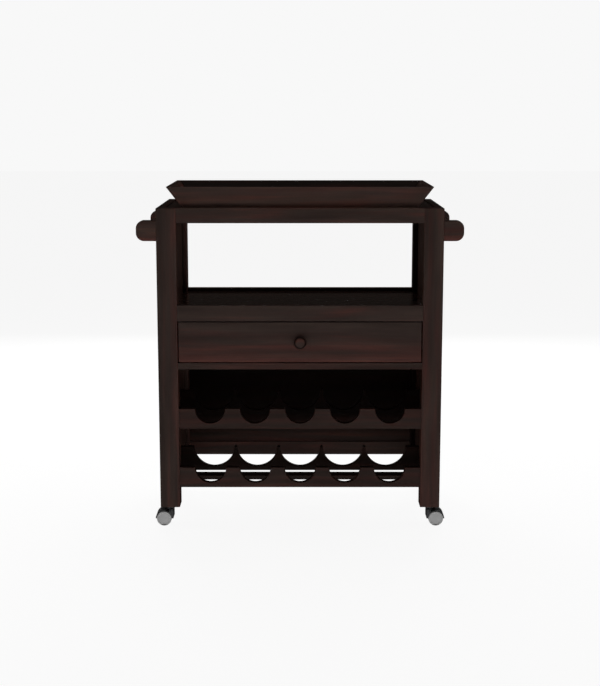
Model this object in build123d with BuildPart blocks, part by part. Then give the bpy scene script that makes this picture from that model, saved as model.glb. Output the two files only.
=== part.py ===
"""Bar cart on casters: solid wood frame, lift-off tray, open shelf, drawer and two bottle racks.

Millimetres, +Z up, +X to the user's right, -Y towards the user. The origin is on the floor, under
the middle of the cart's outer box, which the drawer knob lengthens at the front.
"""
from build123d import *
import os

# ---- Driving dimensions ----
carcass_width = 720
carcass_depth = 360
leg_side = 50
leg_bottom = 50.5
frame_top = 821.5
knob_projection = 27

rail_thickness = 20
rack_rail_thickness = 18
panel_thickness = 18
tenon_length = 12
tenon_shoulder = 5
housing_depth = 5

top_rail_height = 37
top_panel_recess = 3
shelf_rail_top = 577
shelf_rail_height = 40
shelf_recess = 7.5
drawer_rail_top = 429.5
drawer_rail_height = 16
back_panel_thickness = 8
back_panel_face = 345           # behind the front of the legs
back_panel_tongue = 6
side_panel_face = 322           # half the clear width between the side panels

rack_bottoms = {"lower": 103.5, "upper": 258}
rack_front_height = 52
rack_middle_height = 65
rack_middle_raise = 3           # the middle rail's bottom, above the front rail's bottom
rack_front_setback = 3
rack_middle_setback = 158
bottle_pitch = 115
bottle_count = 5
front_notch_radii = {"lower": 40, "upper": 38}
middle_notch_radius = 54
rear_bottom_rail_height = 36.5
slat_setback = 75
slat_width = 39
slat_thickness = 11

bracket_reach = 50
bracket_height = 51.5
bracket_thickness = 23
bracket_corner_radius = 20
bracket_bottom = 739.5
bracket_tenon_shoulder = 6
bar_radius = 11
bar_reach = 26
bar_housing = 12

tray_base_length = 596
tray_base_depth = 246
tray_flare = 37.5
tray_height = 55
tray_wall = 10
tray_floor_thickness = 9

drawer_gap = 2
drawer_side_thickness = 12
drawer_side_height = 80
drawer_length = 310
drawer_bottom_thickness = 6
drawer_bottom_raise = 8
drawer_tongue = 6
knob_radius = 16
knob_neck_radius = 8
knob_foot_radius = 9
knob_waist_reach = 3
knob_rim_reach = 20
knob_raise = 2
knob_screw_radius = 2
knob_screw_depth = 12
knob_screw_head = (4, 2.5)      # radius and height

slide_length = 300
slide_front = 24
slide_gap = 13
slide_sheet = 1.2
slide_half_heights = {"outer": 22.7, "middle": 17.7, "inner": 12.7}
slide_lip = 1.6
slide_drop = 3                  # the slides' middle line, below the middle of the drawer opening
leg_screws_along = (8, 20, 292)     # distances from the front end of the slide
side_screws_along = (13, 150, 270)
leg_screw_length = 11
side_screw_length = 10
screw_head_radius = 3.6
screw_radius = 1.9

# Distances from the face of the legs, near and far: each member's web, its flanges, and the
# strips of bearing balls outside and inside the middle member.
slide_webs = {"outer": (0, 1.2), "middle": (2.4, 3.6), "inner": (11.8, 13)}
slide_flanges = {"outer": (0, 10), "middle": (2.4, 11), "inner": (4.8, 13)}
outer_balls = (4.4, 8.4)
inner_balls = (5.6, 10.6)
cage_clearance = 0.1
cage_length = 160

caster_radius = 19
caster_trail = 17
caster_hood_radius = 22
caster_half_width = 23
caster_web = 5
caster_wheel_gap = 0.4
caster_wheel_width = 17
wheel_rim_radius = 1.5
caster_clearance = 0.8
caster_hood_top = 45.2
axle_radius = 3
stem_radius = 4
running_fit = 0.05
socket_flange_radius = 14
socket_flange_bottom = 45.5
socket_tube_radius = 5.5
socket_depth = 38
hub_bore_depth = 15
axle_end_play = 0.5
axle_boss_radius = 8.3
stem_boss_radius = 6.8
stem_boss_bottom = 38
stem_tip = 86
stem_foot = 24

# ---- Sizes worked out from them ----
leg_inner = carcass_width / 2 - leg_side
front_y = -(carcass_depth + knob_projection) / 2 + knob_projection
rear_y = front_y + carcass_depth
carcass_y = (front_y + rear_y) / 2
outer_x = carcass_width / 2
slide_z = (drawer_rail_top + shelf_rail_top - shelf_rail_height) / 2 - slide_drop
drawer_side_x = leg_inner - slide_gap
sides = {"left": -1, "right": 1}


def behind(distance):
    """Y of a place that lies this far behind the front faces of the legs."""
    return front_y + distance


def block(low, high, mode=Mode.ADD):
    """A square-edged block between two opposite corners, added to or cut from the open part."""
    size = [b - a for a, b in zip(low, high)]
    with BuildSketch(Plane.XY.offset(low[2])) as outline:
        with Locations((low[0] + size[0] / 2, low[1] + size[1] / 2)):
            Rectangle(size[0], size[1])
    extrude(outline.sketch, amount=size[2], mode=mode)


def mirrored_block(side, low, high, mode=Mode.ADD):
    """A block given for the right-hand side, built on the side asked for."""
    x_values = sorted((side * low[0], side * high[0]))
    block((x_values[0], *low[1:]), (x_values[1], *high[1:]), mode)


def rod_along_x(x_start, x_end, y, z, radius, mode=Mode.ADD):
    """A round bar or hole that runs along X."""
    with BuildSketch(Plane.YZ.offset(x_start)) as outline:
        with Locations((y, z)):
            Circle(radius)
    extrude(outline.sketch, amount=x_end - x_start, mode=mode)


def rod_along_y(y_start, y_end, x, z, radius, mode=Mode.ADD):
    """A round bar or hole that runs along Y."""
    with BuildSketch(Plane.XZ.offset(-y_start)) as outline:
        with Locations((x, z)):
            Circle(radius)
    extrude(outline.sketch, amount=y_start - y_end, mode=mode)


def rod_along_z(z_start, z_end, x, y, radius, mode=Mode.ADD):
    """A round bar or hole that runs along Z."""
    with BuildSketch(Plane.XY.offset(z_start)) as outline:
        with Locations((x, y)):
            Circle(radius)
    extrude(outline.sketch, amount=z_end - z_start, mode=mode)


def save(built, label):
    """Label a finished sub-part and write it to its own STEP file."""
    built.part.label = label
    export_step(built.part, f"parts/{label}.step")


os.makedirs("parts", exist_ok=True)

# ---- Where the boards go: low and high corners ----
top_rail_bottom = frame_top - top_rail_height
shelf_rail_bottom = shelf_rail_top - shelf_rail_height
rear_rail_face = behind(carcass_depth - rail_thickness)
back_panel_bottom = rack_bottoms["lower"] + rear_bottom_rail_height

# Rails that run along X between two legs: setback, thickness, bottom and top.
cross_rails = {
    "top_front_rail": (0, rail_thickness, top_rail_bottom, frame_top),
    "top_rear_rail": (carcass_depth - rail_thickness, rail_thickness, top_rail_bottom, frame_top),
    "shelf_front_rail": (0, rail_thickness, shelf_rail_bottom, shelf_rail_top),
    "shelf_rear_rail": (carcass_depth - rail_thickness, rail_thickness,
                        shelf_rail_bottom, shelf_rail_top),
    "drawer_lower_rail": (0, rail_thickness, drawer_rail_top - drawer_rail_height, drawer_rail_top),
    "rear_bottom_rail": (carcass_depth - rail_thickness, rail_thickness,
                         rack_bottoms["lower"], back_panel_bottom),
}
for level, bottom in rack_bottoms.items():
    cross_rails[f"{level}_rack_front_rail"] = (rack_front_setback, rack_rail_thickness,
                                               bottom, bottom + rack_front_height)

back_panel = ((-leg_inner - back_panel_tongue, behind(back_panel_face),
               back_panel_bottom - back_panel_tongue),
              (leg_inner + back_panel_tongue, behind(back_panel_face + back_panel_thickness),
               shelf_rail_bottom + back_panel_tongue))


def rail_corners(name):
    """Low and high corners of a cross rail between its shoulders."""
    setback, thickness, bottom, top = cross_rails[name]
    return ((-leg_inner, behind(setback), bottom), (leg_inner, behind(setback + thickness), top))


def rail_tenon(name):
    """Corners of the tenon that runs through a cross rail into both legs."""
    low, high = rail_corners(name)
    return ((low[0] - tenon_length, low[1] + tenon_shoulder, low[2] + tenon_shoulder),
            (high[0] + tenon_length, high[1] - tenon_shoulder, high[2] - tenon_shoulder))


side_rail = ((outer_x - rail_thickness, behind(leg_side), top_rail_bottom),
             (outer_x, behind(carcass_depth - leg_side), frame_top))
side_rail_tenon = ((side_rail[0][0] + tenon_shoulder, side_rail[0][1] - tenon_length,
                    side_rail[0][2] + tenon_shoulder),
                   (side_rail[1][0] - tenon_shoulder, side_rail[1][1] + tenon_length,
                    side_rail[1][2] - tenon_shoulder))
side_panel = ((side_panel_face, behind(leg_side - 2 * housing_depth), rack_bottoms["lower"]),
              (side_panel_face + panel_thickness,
               behind(carcass_depth - leg_side + 2 * housing_depth),
               frame_top - top_panel_recess - panel_thickness))

bracket_setbacks = (0, carcass_depth - bracket_thickness)
leg_screw_setbacks = [slide_front + along for along in leg_screws_along]
side_screw_setbacks = [slide_front + along for along in side_screws_along]


def bracket_tenon(setback):
    """Corners of the stub tenon that holds a handle bracket in the right-hand leg."""
    return ((outer_x - tenon_length, behind(setback + bracket_tenon_shoulder),
             bracket_bottom + 2 * tenon_shoulder),
            (outer_x, behind(setback + bracket_thickness - bracket_tenon_shoulder),
             bracket_bottom + bracket_height - 2 * tenon_shoulder))


def build_leg(label, side, at_front):
    """One square leg, mortised for its rails, grooved for its panels and bored for its caster."""
    leg_y = front_y if at_front else rear_y - leg_side
    with BuildPart() as leg:
        mirrored_block(side, (leg_inner, leg_y, leg_bottom), (outer_x, leg_y + leg_side, frame_top))
        for name in cross_rails:
            block(*rail_tenon(name), mode=Mode.SUBTRACT)
        block(*back_panel, mode=Mode.SUBTRACT)
        mirrored_block(side, *side_rail_tenon, mode=Mode.SUBTRACT)
        mirrored_block(side, *side_panel, mode=Mode.SUBTRACT)
        for setback in bracket_setbacks:
            mirrored_block(side, *bracket_tenon(setback), mode=Mode.SUBTRACT)
        for setback in leg_screw_setbacks:
            rod_along_x(side * leg_inner, side * (leg_inner + leg_screw_length), behind(setback),
                        slide_z, screw_radius, Mode.SUBTRACT)
        rod_along_z(leg_bottom, leg_bottom + socket_depth, side * (leg_inner + leg_side / 2),
                    leg_y + leg_side / 2, socket_tube_radius, Mode.SUBTRACT)
    save(leg, label)


for row, at_front in (("front", True), ("rear", False)):
    for hand, side in sides.items():
        build_leg(f"leg_{row}_{hand}", side, at_front)


def build_cross_rail(name, notch_radius=None):
    """One rail with its tenons; a rack rail also has a row of half-round bottle notches."""
    low, high = rail_corners(name)
    with BuildPart() as rail:
        block(low, high)
        block(*rail_tenon(name))
        block(*back_panel, mode=Mode.SUBTRACT)
        if notch_radius:
            cut_bottle_notches(low, high, notch_radius)
    save(rail, name)


def cut_bottle_notches(low, high, notch_radius):
    """Half-round notches in the top edge of the open part, evenly spaced along X."""
    with BuildSketch(Plane.XZ.offset(-low[1])) as notches:
        with Locations((0, high[2])):
            with GridLocations(bottle_pitch, 1, bottle_count, 1):
                Circle(notch_radius)
    extrude(notches.sketch, amount=low[1] - high[1], mode=Mode.SUBTRACT)


for rail_name in cross_rails:
    build_cross_rail(rail_name, front_notch_radii.get(rail_name.removesuffix("_rack_front_rail")))

# Middle rack rails and the flat slat are housed in the side panels.
housed_half_length = side_panel_face + housing_depth
middle_rails = {f"{level}_rack_middle_rail":
                ((-housed_half_length, behind(rack_middle_setback), bottom + rack_middle_raise),
                 (housed_half_length, behind(rack_middle_setback + rack_rail_thickness),
                  bottom + rack_middle_raise + rack_middle_height))
                for level, bottom in rack_bottoms.items()}
slat = ((-housed_half_length, behind(slat_setback), rack_bottoms["lower"]),
        (housed_half_length, behind(slat_setback + slat_width),
         rack_bottoms["lower"] + slat_thickness))

for rail_name, (low, high) in middle_rails.items():
    with BuildPart() as middle_rail:
        block(low, high)
        cut_bottle_notches(low, high, middle_notch_radius)
    save(middle_rail, rail_name)

with BuildPart() as lower_rack_slat:
    block(*slat)
save(lower_rack_slat, "lower_rack_slat")

with BuildPart() as back_board:
    block(*back_panel)
save(back_board, "back_panel")

for hand, side in sides.items():
    with BuildPart() as top_side_rail:
        mirrored_block(side, *side_rail)
        mirrored_block(side, *side_rail_tenon)
    save(top_side_rail, f"top_{hand}_rail")

    with BuildPart() as side_board:
        mirrored_block(side, *side_panel)
        for housed in (*middle_rails.values(), slat):
            block(*housed, mode=Mode.SUBTRACT)
    save(side_board, f"{hand}_side_panel")


def build_notched_board(label, half_length, top):
    """A level board between the front and rear rails, notched round the four legs."""
    with BuildPart() as board:
        block((-half_length, front_y + rail_thickness, top - panel_thickness),
              (half_length, rear_y - rail_thickness, top))
        for side in sides.values():
            for leg_y in (front_y, rear_y - leg_side):
                mirrored_block(side, (leg_inner, leg_y, leg_bottom),
                               (outer_x, leg_y + leg_side, frame_top), Mode.SUBTRACT)
    save(board, label)


build_notched_board("top_panel", outer_x - rail_thickness, frame_top - top_panel_recess)
build_notched_board("shelf_board", side_panel_face, shelf_rail_top - shelf_recess)

# ---- Side handles: a round bar housed in two brackets ----
bar_x = outer_x + bar_reach
bar_z = bracket_bottom + bracket_height / 2
bar_front = behind(bracket_thickness - bar_housing)
bar_rear = behind(carcass_depth - bracket_thickness + bar_housing)

for hand, side in sides.items():
    with BuildPart() as brackets:
        for setback in bracket_setbacks:
            with BuildSketch(Plane.XZ.offset(-behind(setback))):
                with Locations((side * (outer_x + bracket_reach / 2), bar_z)):
                    Rectangle(bracket_reach, bracket_height)
            extrude(amount=-bracket_thickness)
        outer_corners = brackets.edges().filter_by(Axis.Y).group_by(Axis.X)[-1 if side > 0 else 0]
        fillet(outer_corners, bracket_corner_radius)
        for setback in bracket_setbacks:
            mirrored_block(side, *bracket_tenon(setback))
        rod_along_y(bar_front, bar_rear, side * bar_x, bar_z, bar_radius, Mode.SUBTRACT)
    save(brackets, f"handle_brackets_{hand}")

    with BuildPart() as handle_bar:
        rod_along_y(bar_front, bar_rear, side * bar_x, bar_z, bar_radius)
    save(handle_bar, f"handle_bar_{hand}")

# ---- Tray: a flat floor and four mitred walls that flare outwards ----
tray_bottom = frame_top - top_panel_recess
tray_top = tray_bottom + tray_height


def build_tray_wall(label, half_length, half_depth, turn):
    """One flared wall along X, turned about the tray's centre to its own side."""
    with BuildPart() as wall:
        for level, flare in ((tray_bottom, 0), (tray_top, tray_flare)):
            long_half = half_length + flare
            outer_reach = half_depth + flare
            with BuildSketch(Plane((0, carcass_y, level), x_dir=Vector(1, 0, 0).rotate(Axis.Z, turn))):
                Polygon((-long_half, -outer_reach), (long_half, -outer_reach),
                        (long_half - tray_wall, tray_wall - outer_reach),
                        (tray_wall - long_half, tray_wall - outer_reach), align=None)
        loft(ruled=True)
    save(wall, label)


half_base_length = tray_base_length / 2
half_base_depth = tray_base_depth / 2
build_tray_wall("tray_front_wall", half_base_length, half_base_depth, 0)
build_tray_wall("tray_right_wall", half_base_depth, half_base_length, 90)
build_tray_wall("tray_rear_wall", half_base_length, half_base_depth, 180)
build_tray_wall("tray_left_wall", half_base_depth, half_base_length, 270)

with BuildPart() as tray_floor:
    floor_flare = tray_flare * tray_floor_thickness / tray_height
    for level, flare in ((tray_bottom, 0), (tray_bottom + tray_floor_thickness, floor_flare)):
        with BuildSketch(Plane.XY.offset(level)):
            with Locations((0, carcass_y)):
                Rectangle(tray_base_length + 2 * (flare - tray_wall),
                          tray_base_depth + 2 * (flare - tray_wall))
    loft(ruled=True)
save(tray_floor, "tray_floor")

# ---- Drawer ----
drawer_front_half = leg_inner - drawer_gap
drawer_front_bottom = drawer_rail_top + drawer_gap
drawer_front_top = shelf_rail_bottom - drawer_gap
side_bottom = slide_z - drawer_side_height / 2
side_top = slide_z + drawer_side_height / 2
drawer_rear = behind(rail_thickness + drawer_length)
bottom_z = side_bottom + drawer_bottom_raise
drawer_inner_x = drawer_side_x - drawer_side_thickness
knob_z = (drawer_front_bottom + drawer_front_top) / 2 + knob_raise

drawer_side = ((drawer_inner_x, behind(rail_thickness - 2 * drawer_tongue), side_bottom),
               (drawer_side_x, drawer_rear, side_top))
drawer_back = ((-drawer_inner_x - drawer_tongue, drawer_rear - 2 * drawer_side_thickness,
                bottom_z + drawer_bottom_thickness),
               (drawer_inner_x + drawer_tongue, drawer_rear - drawer_side_thickness, side_top))
drawer_bottom = ((-drawer_inner_x - drawer_tongue, behind(rail_thickness - drawer_tongue), bottom_z),
                 (drawer_inner_x + drawer_tongue, drawer_rear - drawer_side_thickness,
                  bottom_z + drawer_bottom_thickness))

with BuildPart() as drawer_front:
    block((-drawer_front_half, front_y, drawer_front_bottom),
          (drawer_front_half, behind(rail_thickness), drawer_front_top))
    for side in sides.values():
        mirrored_block(side, *drawer_side, mode=Mode.SUBTRACT)
    block(*drawer_bottom, mode=Mode.SUBTRACT)
    rod_along_y(front_y, behind(rail_thickness), 0, knob_z, knob_screw_radius, Mode.SUBTRACT)
save(drawer_front, "drawer_front")

for hand, side in sides.items():
    with BuildPart() as drawer_side_board:
        mirrored_block(side, *drawer_side)
        block(*drawer_back, mode=Mode.SUBTRACT)
        block(*drawer_bottom, mode=Mode.SUBTRACT)
        for setback in side_screw_setbacks:
            rod_along_x(side * (drawer_side_x - side_screw_length), side * drawer_side_x,
                        behind(setback), slide_z, screw_radius, Mode.SUBTRACT)
    save(drawer_side_board, f"drawer_{hand}_side")

with BuildPart() as drawer_back_board:
    block(*drawer_back)
save(drawer_back_board, "drawer_back")

with BuildPart() as drawer_bottom_board:
    block(*drawer_bottom)
save(drawer_bottom_board, "drawer_bottom")

# The knob is turned about the Y axis through its centre.
knob_plane = Plane(origin=(0, front_y, knob_z), x_dir=(1, 0, 0), z_dir=(0, 0, 1))
with BuildPart() as drawer_knob:
    with BuildSketch(knob_plane):
        with BuildLine():
            waist = (knob_neck_radius, -knob_waist_reach)
            rim = (knob_radius, -knob_rim_reach)
            tip = (0, -knob_projection)
            Polyline((0, 0), (knob_foot_radius, 0), waist)
            Spline(waist, (9, -11), rim, tangents=[(0, -1), (0.3, -1)])
            Spline(rim, (12, -24.8), tip, tangents=[(0, -1), (-1, 0)])
            Line(tip, (0, 0))
        make_face()
    revolve(axis=Axis((0, front_y, knob_z), (0, 1, 0)))
    rod_along_y(front_y - knob_screw_depth, front_y, 0, knob_z, knob_screw_radius, Mode.SUBTRACT)
save(drawer_knob, "drawer_knob")


# ---- Ball-bearing drawer slides ----
def slide_strips(side, near, far, rise_low, rise_high, length=slide_length):
    """Two strips of a slide, above and below its middle line."""
    middle_y = behind(slide_front + slide_length / 2)
    for sign in (-1, 1):
        z_low, z_high = sorted((slide_z + sign * rise_low, slide_z + sign * rise_high))
        mirrored_block(side, (leg_inner - far, middle_y - length / 2, z_low),
                       (leg_inner - near, middle_y + length / 2, z_high))


def add_channel(side, member):
    """One C-shaped slide member of folded sheet."""
    half_height = slide_half_heights[member]
    slide_strips(side, *slide_webs[member], 0, half_height)
    slide_strips(side, *slide_flanges[member], half_height - slide_sheet, half_height)


with BuildPart() as slide_outer_members:
    for side in sides.values():
        add_channel(side, "outer")
        flange_tip = slide_flanges["outer"][1]
        slide_strips(side, flange_tip - slide_sheet, flange_tip,
                     slide_half_heights["outer"] - slide_sheet - slide_lip, slide_half_heights["outer"])
        for setback in leg_screw_setbacks:
            rod_along_x(side * (leg_inner - slide_sheet), side * leg_inner, behind(setback), slide_z,
                        screw_head_radius, Mode.SUBTRACT)
save(slide_outer_members, "slide_outer_members")

with BuildPart() as slide_middle_members:
    for side in sides.values():
        add_channel(side, "middle")
save(slide_middle_members, "slide_middle_members")

with BuildPart() as slide_inner_members:
    for side in sides.values():
        add_channel(side, "inner")
        for setback in side_screw_setbacks:
            rod_along_x(side * drawer_side_x, side * (drawer_side_x + slide_sheet), behind(setback),
                        slide_z, screw_head_radius, Mode.SUBTRACT)
save(slide_inner_members, "slide_inner_members")

# Each strip of bearing balls in its cage is one bar that rides on the middle member. The outer
# pair rests on its flanges and clears the outer member; the inner pair hangs under its flanges
# and clears the inner member.
with BuildPart() as slide_ball_cages:
    for side in sides.values():
        slide_strips(side, *outer_balls, slide_half_heights["middle"],
                     slide_half_heights["outer"] - slide_sheet - cage_clearance, cage_length)
        slide_strips(side, *inner_balls, slide_half_heights["inner"] + cage_clearance,
                     slide_half_heights["middle"] - slide_sheet, cage_length)
save(slide_ball_cages, "slide_ball_cages")

# ---- Screws ----
with BuildPart() as slide_screws:
    for side in sides.values():
        for setback in leg_screw_setbacks:
            rod_along_x(side * (leg_inner - slide_sheet), side * leg_inner, behind(setback), slide_z,
                        screw_head_radius)
            rod_along_x(side * leg_inner, side * (leg_inner + leg_screw_length), behind(setback),
                        slide_z, screw_radius)
save(slide_screws, "slide_screws")

with BuildPart() as drawer_screws:
    for side in sides.values():
        for setback in side_screw_setbacks:
            rod_along_x(side * drawer_side_x, side * (drawer_side_x + slide_sheet), behind(setback),
                        slide_z, screw_head_radius)
            rod_along_x(side * (drawer_side_x - side_screw_length), side * drawer_side_x,
                        behind(setback), slide_z, screw_radius)
    rod_along_y(front_y - knob_screw_depth, behind(rail_thickness), 0, knob_z, knob_screw_radius)
    rod_along_y(behind(rail_thickness), behind(rail_thickness) + knob_screw_head[1], 0, knob_z,
                knob_screw_head[0])
save(drawer_screws, "drawer_screws")

# ---- Casters ----
caster_x = leg_inner + leg_side / 2
caster_rows = {"front": front_y + leg_side / 2, "rear": rear_y - leg_side / 2}
wheel_face = caster_web + caster_wheel_gap
# Upper outline of the hood over the stem: distance outwards from the stem, and height.
hood_shoulder = ((10, 44), (-4, 44), (-stem_boss_radius, 39))

with BuildPart() as caster_sockets:
    for side in sides.values():
        for stem_y in caster_rows.values():
            rod_along_z(socket_flange_bottom, leg_bottom, side * caster_x, stem_y,
                        socket_flange_radius)
            rod_along_z(leg_bottom, leg_bottom + socket_depth, side * caster_x, stem_y,
                        socket_tube_radius)
            rod_along_z(socket_flange_bottom, stem_tip + 1, side * caster_x, stem_y,
                        stem_radius + running_fit, Mode.SUBTRACT)
save(caster_sockets, "caster_sockets")


def build_caster(label, side, stem_y):
    """One twin-wheel caster that trails outwards: hood, its two pins, and two wheels."""
    stem_x = side * caster_x
    axle_x = side * (caster_x + caster_trail)
    axle_z = caster_radius

    with BuildPart() as hood:
        with BuildSketch(Plane.XZ.offset(caster_half_width - stem_y)):
            with Locations((axle_x, axle_z)):
                Circle(caster_hood_radius)
            with Locations((axle_x, axle_z - caster_hood_radius / 2)):
                Rectangle(2 * caster_hood_radius, caster_hood_radius, mode=Mode.SUBTRACT)
            Polygon((stem_x - side * stem_boss_radius, axle_z), (axle_x, axle_z),
                    (axle_x, axle_z + caster_hood_radius),
                    *[(stem_x + side * outwards, height) for outwards, height in hood_shoulder],
                    align=None)
        extrude(amount=-2 * caster_half_width)
        rod_along_z(stem_boss_bottom, caster_hood_top, stem_x, stem_y, stem_boss_radius)
        for end in (-1, 1):
            rod_along_y(stem_y + end * caster_web, stem_y + end * caster_half_width, axle_x, axle_z,
                        caster_radius + caster_clearance, Mode.SUBTRACT)
        rod_along_y(stem_y - caster_web, stem_y + caster_web, axle_x, axle_z, axle_boss_radius)
        rod_along_y(stem_y - caster_web, stem_y + caster_web, axle_x, axle_z, axle_radius,
                    Mode.SUBTRACT)
        rod_along_z(stem_foot, stem_boss_bottom, stem_x, stem_y, axle_radius, Mode.SUBTRACT)
        rod_along_z(stem_boss_bottom, caster_hood_top, stem_x, stem_y, stem_radius, Mode.SUBTRACT)
    save(hood, f"{label}_hood")

    with BuildPart() as pins:
        rod_along_z(stem_foot, stem_boss_bottom, stem_x, stem_y, axle_radius)
        rod_along_z(stem_boss_bottom, stem_tip, stem_x, stem_y, stem_radius)
        axle_half = wheel_face + hub_bore_depth - axle_end_play
        rod_along_y(stem_y - axle_half, stem_y + axle_half, axle_x, axle_z, axle_radius)
    save(pins, f"{label}_pins")

    for number, end in ((1, -1), (2, 1)):
        with BuildPart() as wheel:
            rod_along_y(stem_y + end * wheel_face, stem_y + end * (wheel_face + caster_wheel_width),
                        axle_x, axle_z, caster_radius)
            fillet(wheel.edges().filter_by(GeomType.CIRCLE), wheel_rim_radius)
            rod_along_y(stem_y + end * wheel_face, stem_y + end * (wheel_face + hub_bore_depth),
                        axle_x, axle_z, axle_radius + running_fit, Mode.SUBTRACT)
        save(wheel, f"{label}_wheel_{number}")


for row, stem_y in caster_rows.items():
    for hand, side in sides.items():
        build_caster(f"caster_{row}_{hand}", side, stem_y)
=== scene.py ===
"""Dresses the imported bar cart: stained wood boards with eased edges, turned knob, drawer slides,
casters, and the studio around it. Metres, +Z up, the drawer opens towards -Y."""

import math
import random

import bmesh
import bpy
from mathutils import Matrix, Vector


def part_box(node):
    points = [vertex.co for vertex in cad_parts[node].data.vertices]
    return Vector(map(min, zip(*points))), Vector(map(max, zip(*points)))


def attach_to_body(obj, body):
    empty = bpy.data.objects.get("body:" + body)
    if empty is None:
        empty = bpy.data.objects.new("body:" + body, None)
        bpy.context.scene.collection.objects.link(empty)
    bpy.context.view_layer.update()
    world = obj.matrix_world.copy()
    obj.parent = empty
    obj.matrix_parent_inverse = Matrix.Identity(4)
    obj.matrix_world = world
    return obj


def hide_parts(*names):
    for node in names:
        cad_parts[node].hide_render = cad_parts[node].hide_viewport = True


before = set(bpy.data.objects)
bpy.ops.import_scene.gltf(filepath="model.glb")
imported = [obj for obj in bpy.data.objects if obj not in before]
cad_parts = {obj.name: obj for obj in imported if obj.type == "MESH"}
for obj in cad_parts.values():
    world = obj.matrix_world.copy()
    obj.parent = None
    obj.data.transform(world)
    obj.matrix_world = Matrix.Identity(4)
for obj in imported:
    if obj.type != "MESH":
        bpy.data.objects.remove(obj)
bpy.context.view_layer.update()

MM = 0.001
RNG = random.Random(7)
SIDES = {"left": -1, "right": 1}
ROWS = ("front", "rear")

# ---- Places read from the frame ----
leg_low, leg_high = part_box("leg_front_right")
INNER_X = leg_low.x  # half the clear width between the legs
OUTER_X = leg_high.x
FRONT_Y = leg_low.y
REAR_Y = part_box("leg_rear_right")[1].y
LEG_SIDE = leg_high.x - leg_low.x
FRAME_TOP = leg_high.z

# ---- Sizes of the finish and of small details ----
ARRIS = 1.2 * MM  # radius of the eased edges on boards
THIN_ARRIS = 0.8 * MM
TRAY_ARRIS = 0.9 * MM
DRAWER_ARRIS = 0.6 * MM
ROUNDING_STEPS = 3
SHARP = math.radians(38)  # folds sharper than this are eased
# How red each board is at its low and its high edge: sapwood 0, heartwood 1.
LEG_HEART = {"left": (-0.1, 0.5), "right": (0.55, 0.3)}
DRAWER_HEART = (1.05, -0.25)
BRACKET_HEART = (0.75, 0.15)
KNOB_HEART = (0.3, 0.3)
# How light each board is stained, and how far painted shade darkens it, all over or at its low and its
# high edge.
# Front legs: stain, lighter towards +x. Rear legs: painted shade, from near black at their -x side to
# light at +x, on all but their back and outer faces.
LEG_STAIN_AND_SHADE = {"front": (0.78, 1.0), "rear": (-0.9, 1.2)}
# Painted shade on the tops of the legs.
LEG_TOP_PAINTED_SHADE = 0.75
# The rear legs' back and outer faces and the back panel's back face keep this plain stain, without
# painted shade.
OUTSIDE_STAIN = 0.9  # the outer faces of the rear legs and the back panel
DRAWER_STAIN = (1.0, 0.84)
RAIL_STAIN = {"top_front_rail": 1.0, "top_rear_rail": 1.0, "shelf_front_rail": 1.0,
              "shelf_rear_rail": 1.0, "drawer_lower_rail": 0.9, "rear_bottom_rail": 1.0}
# Painted shade: the top side rails, seen mostly from above, are darkened all over.
TOP_SIDE_RAIL_PAINTED_SHADE = 0.6
# Painted shade: the back panel darkens towards its top inside the racks; the shelf inside the open
# compartment and the top panel under the tray are darkened.
PANEL_STAIN_AND_SHADE = {"left_side_panel": 0.9, "right_side_panel": 0.9, "back_panel": (0.72, -2.4),
               "top_panel": 0.8, "shelf_board": 0.45, "lower_rack_slat": 0.85}
# The darkest that stain and painted shade together may make a board.
DARKEST_STAIN_AND_SHADE = 0.07
KNOB_SHADOW = 0.22  # painted shade on the turned neck and round the rim, where the knob turns away from the light
DRAWER_RELIEF = 0.7 * MM
# Each bottle rail's rests by radius, and its stain; the middle rails, deep inside the racks, are
# darkened as painted shade.
RACK_RAILS = {"upper_rack_front_rail": (38 * MM, 0.66), "upper_rack_middle_rail": (54 * MM, 0.08),
              "lower_rack_front_rail": (40 * MM, 0.66), "lower_rack_middle_rail": (54 * MM, 0.36)}
BOTTLE_PITCH = 115 * MM
BOTTLE_COUNT = 5
BRACKET_THICKNESS = 23 * MM
BRACKET_CORNER = 20 * MM
BRACKET_ARRIS = 2.6 * MM
SLIDE_SHEET = 1.2 * MM
SLIDE_LIP = 1.6 * MM
# Distances from a leg's inner face: each channel's web, and the tips of its flanges.
SLIDE_WEBS = {"outer": 0.0, "middle": 2.4 * MM, "inner": 13 * MM}
SLIDE_TIPS = {"outer": 10 * MM, "middle": 11 * MM, "inner": 4.8 * MM}
BALL_ROWS = ((6.4 * MM, 19.55 * MM), (8.1 * MM, 14.65 * MM))
BALL_RADIUS = 1.85 * MM
BALL_PITCH = 8 * MM
CAGE_WIDTH = 4 * MM
LEG_SCREWS = (8, 20, 292)  # mm from the front end of the slide
SIDE_SCREWS = (13, 150, 270)
SLIDE_SCREW = {"Head Radius": 3.4 * MM, "Head Height": 0.9 * MM, "Shank Radius": 1.8 * MM,
               "Shank Length": 10.5 * MM}
KNOB_SCREW = {"Head Radius": 4 * MM, "Head Height": 2.2 * MM, "Shank Radius": 2 * MM,
              "Shank Length": 31 * MM}
CASTER_TRAIL = 17 * MM  # from a stem's middle line out to its axle
AXLE_HEIGHT = 19 * MM
AXLE_RADIUS = 3 * MM
AXLE_REACH = 20 * MM  # from the middle of the web into each wheel
HOOD_RADII = (22 * MM, 19.8 * MM)  # outside and inside the fender
HOOD_SETBACK = 3 * MM  # the wheels stand a little proud of it
WEB_HALF = 5 * MM  # half the thickness of the web between the wheels
BLOCK_HALF = 6.8 * MM  # the block on the hood that holds the stem
BLOCK_TOP = 43.6 * MM
BLOCK_CORNER = 6 * MM
BOSS_FOOT = 38 * MM  # the round boss about the stem, from here to the hood's top
HUB_RADIUS = 8.3 * MM  # the web's round foot about the axle
CARD_GLOW = 0.045
FLOOR_GLOW = 0.915  # the floor looks white on its own


# ---- Materials ----

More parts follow.
